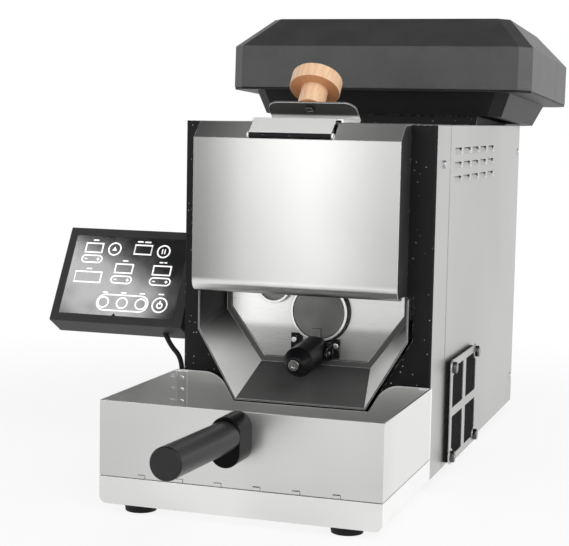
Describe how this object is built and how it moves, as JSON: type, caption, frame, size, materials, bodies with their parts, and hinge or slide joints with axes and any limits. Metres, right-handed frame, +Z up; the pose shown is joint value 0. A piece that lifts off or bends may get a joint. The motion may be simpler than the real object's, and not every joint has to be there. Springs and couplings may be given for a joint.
{
  "type": "home coffee bean roaster",
  "caption": "Countertop drum coffee roaster with hinged bean lid, discharge lever and chute, sliding cooling tray, tilted touch control box and rear chaff hood.",
  "frame": {"origin": "under the middle of the whole object's box, on the surface that the feet stand on", "axes": "+Z up, +X to the right seen from the front, +Y to the back; the front with the tray faces -Y"},
  "size_m": [0.3376, 0.6636, 0.3508],
  "materials": {
    "charcoal_paint": "fine textured, matt",
    "black_paint": "fine textured, satin",
    "stainless": "satin",
    "side_steel": "satin",
    "tray_steel": "bright satin",
    "inner_steel": "mill finish",
    "screw_steel": "plain",
    "black_plastic": "satin",
    "box_plastic": "fine grain",
    "panel_glass": "gloss",
    "port_glass": "clear",
    "beech": "oiled",
    "rubber": "plain",
    "board": "plain",
    "foam": "open mesh"
  },
  "bodies": {
    "frame": {"base_pan": "black_paint", "front_frame": "black_paint", "front_housing": "side_steel", "side_cover_right": "side_steel", "side_cover_left": "side_steel", "top_plate": "side_steel", "rear_panel": "side_steel", "front_cover": "stainless", "front_cover_ends": "black_paint", "lid_hinge_pin": "screw_steel", "lid_hinge_bracket": "stainless", "inlet_hopper": "inner_steel", "recess_plate": "stainless", "sight_glass": "port_glass", "discharge_bracket": "black_paint", "discharge_pin": "screw_steel", "discharge_chute": "stainless", "gear_motor": "black_paint", "drum_rear_plate": "inner_steel", "exhaust_duct": "inner_steel", "drum_bearing": "inner_steel", "drum_housing": "inner_steel", "heaters": "inner_steel", "bean_probe": "screw_steel", "tray_base": "tray_steel", "cooling_duct": "inner_steel", "cooling_fan_frame": "black_plastic", "fan_filter": "foam", "fan_guard": "side_steel", "guard_screws": "black_plastic", "hood_tub": "charcoal_paint", "chaff_screen": "inner_steel", "hood_collar": "black_paint", "exhaust_motor": "black_paint", "control_case": "box_plastic", "control_glass": "panel_glass", "control_board": "board", "control_cable": "rubber", "power_inlet": "black_plastic", "power_board": "board", "feet": "rubber", "casing_screws": "screw_steel"},
    "lid": {"inlet_lid": "stainless", "lid_knob": "beech", "lid_knob_screw": "screw_steel", "lid_hinge_bar": "black_paint"},
    "discharge": {"discharge_door": "stainless", "discharge_lever": "black_plastic", "lever_nose_screw": "screw_steel"},
    "tray": {"cooling_tray": "tray_steel", "tray_sieve": "tray_steel", "tray_handle_base": "black_plastic", "tray_handle_grip": "black_plastic", "handle_bolts": "screw_steel"},
    "drum": {"roasting_drum": "inner_steel", "drum_shaft": "inner_steel", "shaft_coupling": "inner_steel"},
    "fan_rotor": {"cooling_impeller": "black_plastic"},
    "blower_rotor": {"exhaust_impeller": "black_plastic"},
    "hood": {"hood_cap": "charcoal_paint"}
  },
  "joints": [
    {"name": "lid_hinge", "type": "hinge", "parent": "frame", "child": "lid", "pos_m": [0.03575, -0.10203, 0.253], "axis": [1, 0, 0], "range_deg": [0, 105]},
    {"name": "discharge_hinge", "type": "hinge", "parent": "frame", "child": "discharge", "pos_m": [0.03975, -0.05353, 0.092], "axis": [1, 0, 0], "range_deg": [0, 26]},
    {"name": "tray_slide", "type": "slide", "parent": "frame", "child": "tray", "axis": [0, -1, 0], "range_m": [0, 0.12]},
    {"name": "drum_spin", "type": "hinge", "parent": "frame", "child": "drum", "pos_m": [0.03975, 0.02847, 0.166], "axis": [0, 1, 0], "continuous": true},
    {"name": "fan_spin", "type": "hinge", "parent": "frame", "child": "fan_rotor", "pos_m": [0.11975, 0.02947, 0.0472], "axis": [1, 0, 0], "continuous": true},
    {"name": "blower_spin", "type": "hinge", "parent": "frame", "child": "blower_rotor", "pos_m": [0.03975, 0.2687, 0.29314], "axis": [0, 0.0436, 0.999], "continuous": true},
    {"name": "hood_lift", "type": "slide", "parent": "frame", "child": "hood", "axis": [0, 0.0436, 0.999], "range_m": [0, 0.08]}
  ]
}
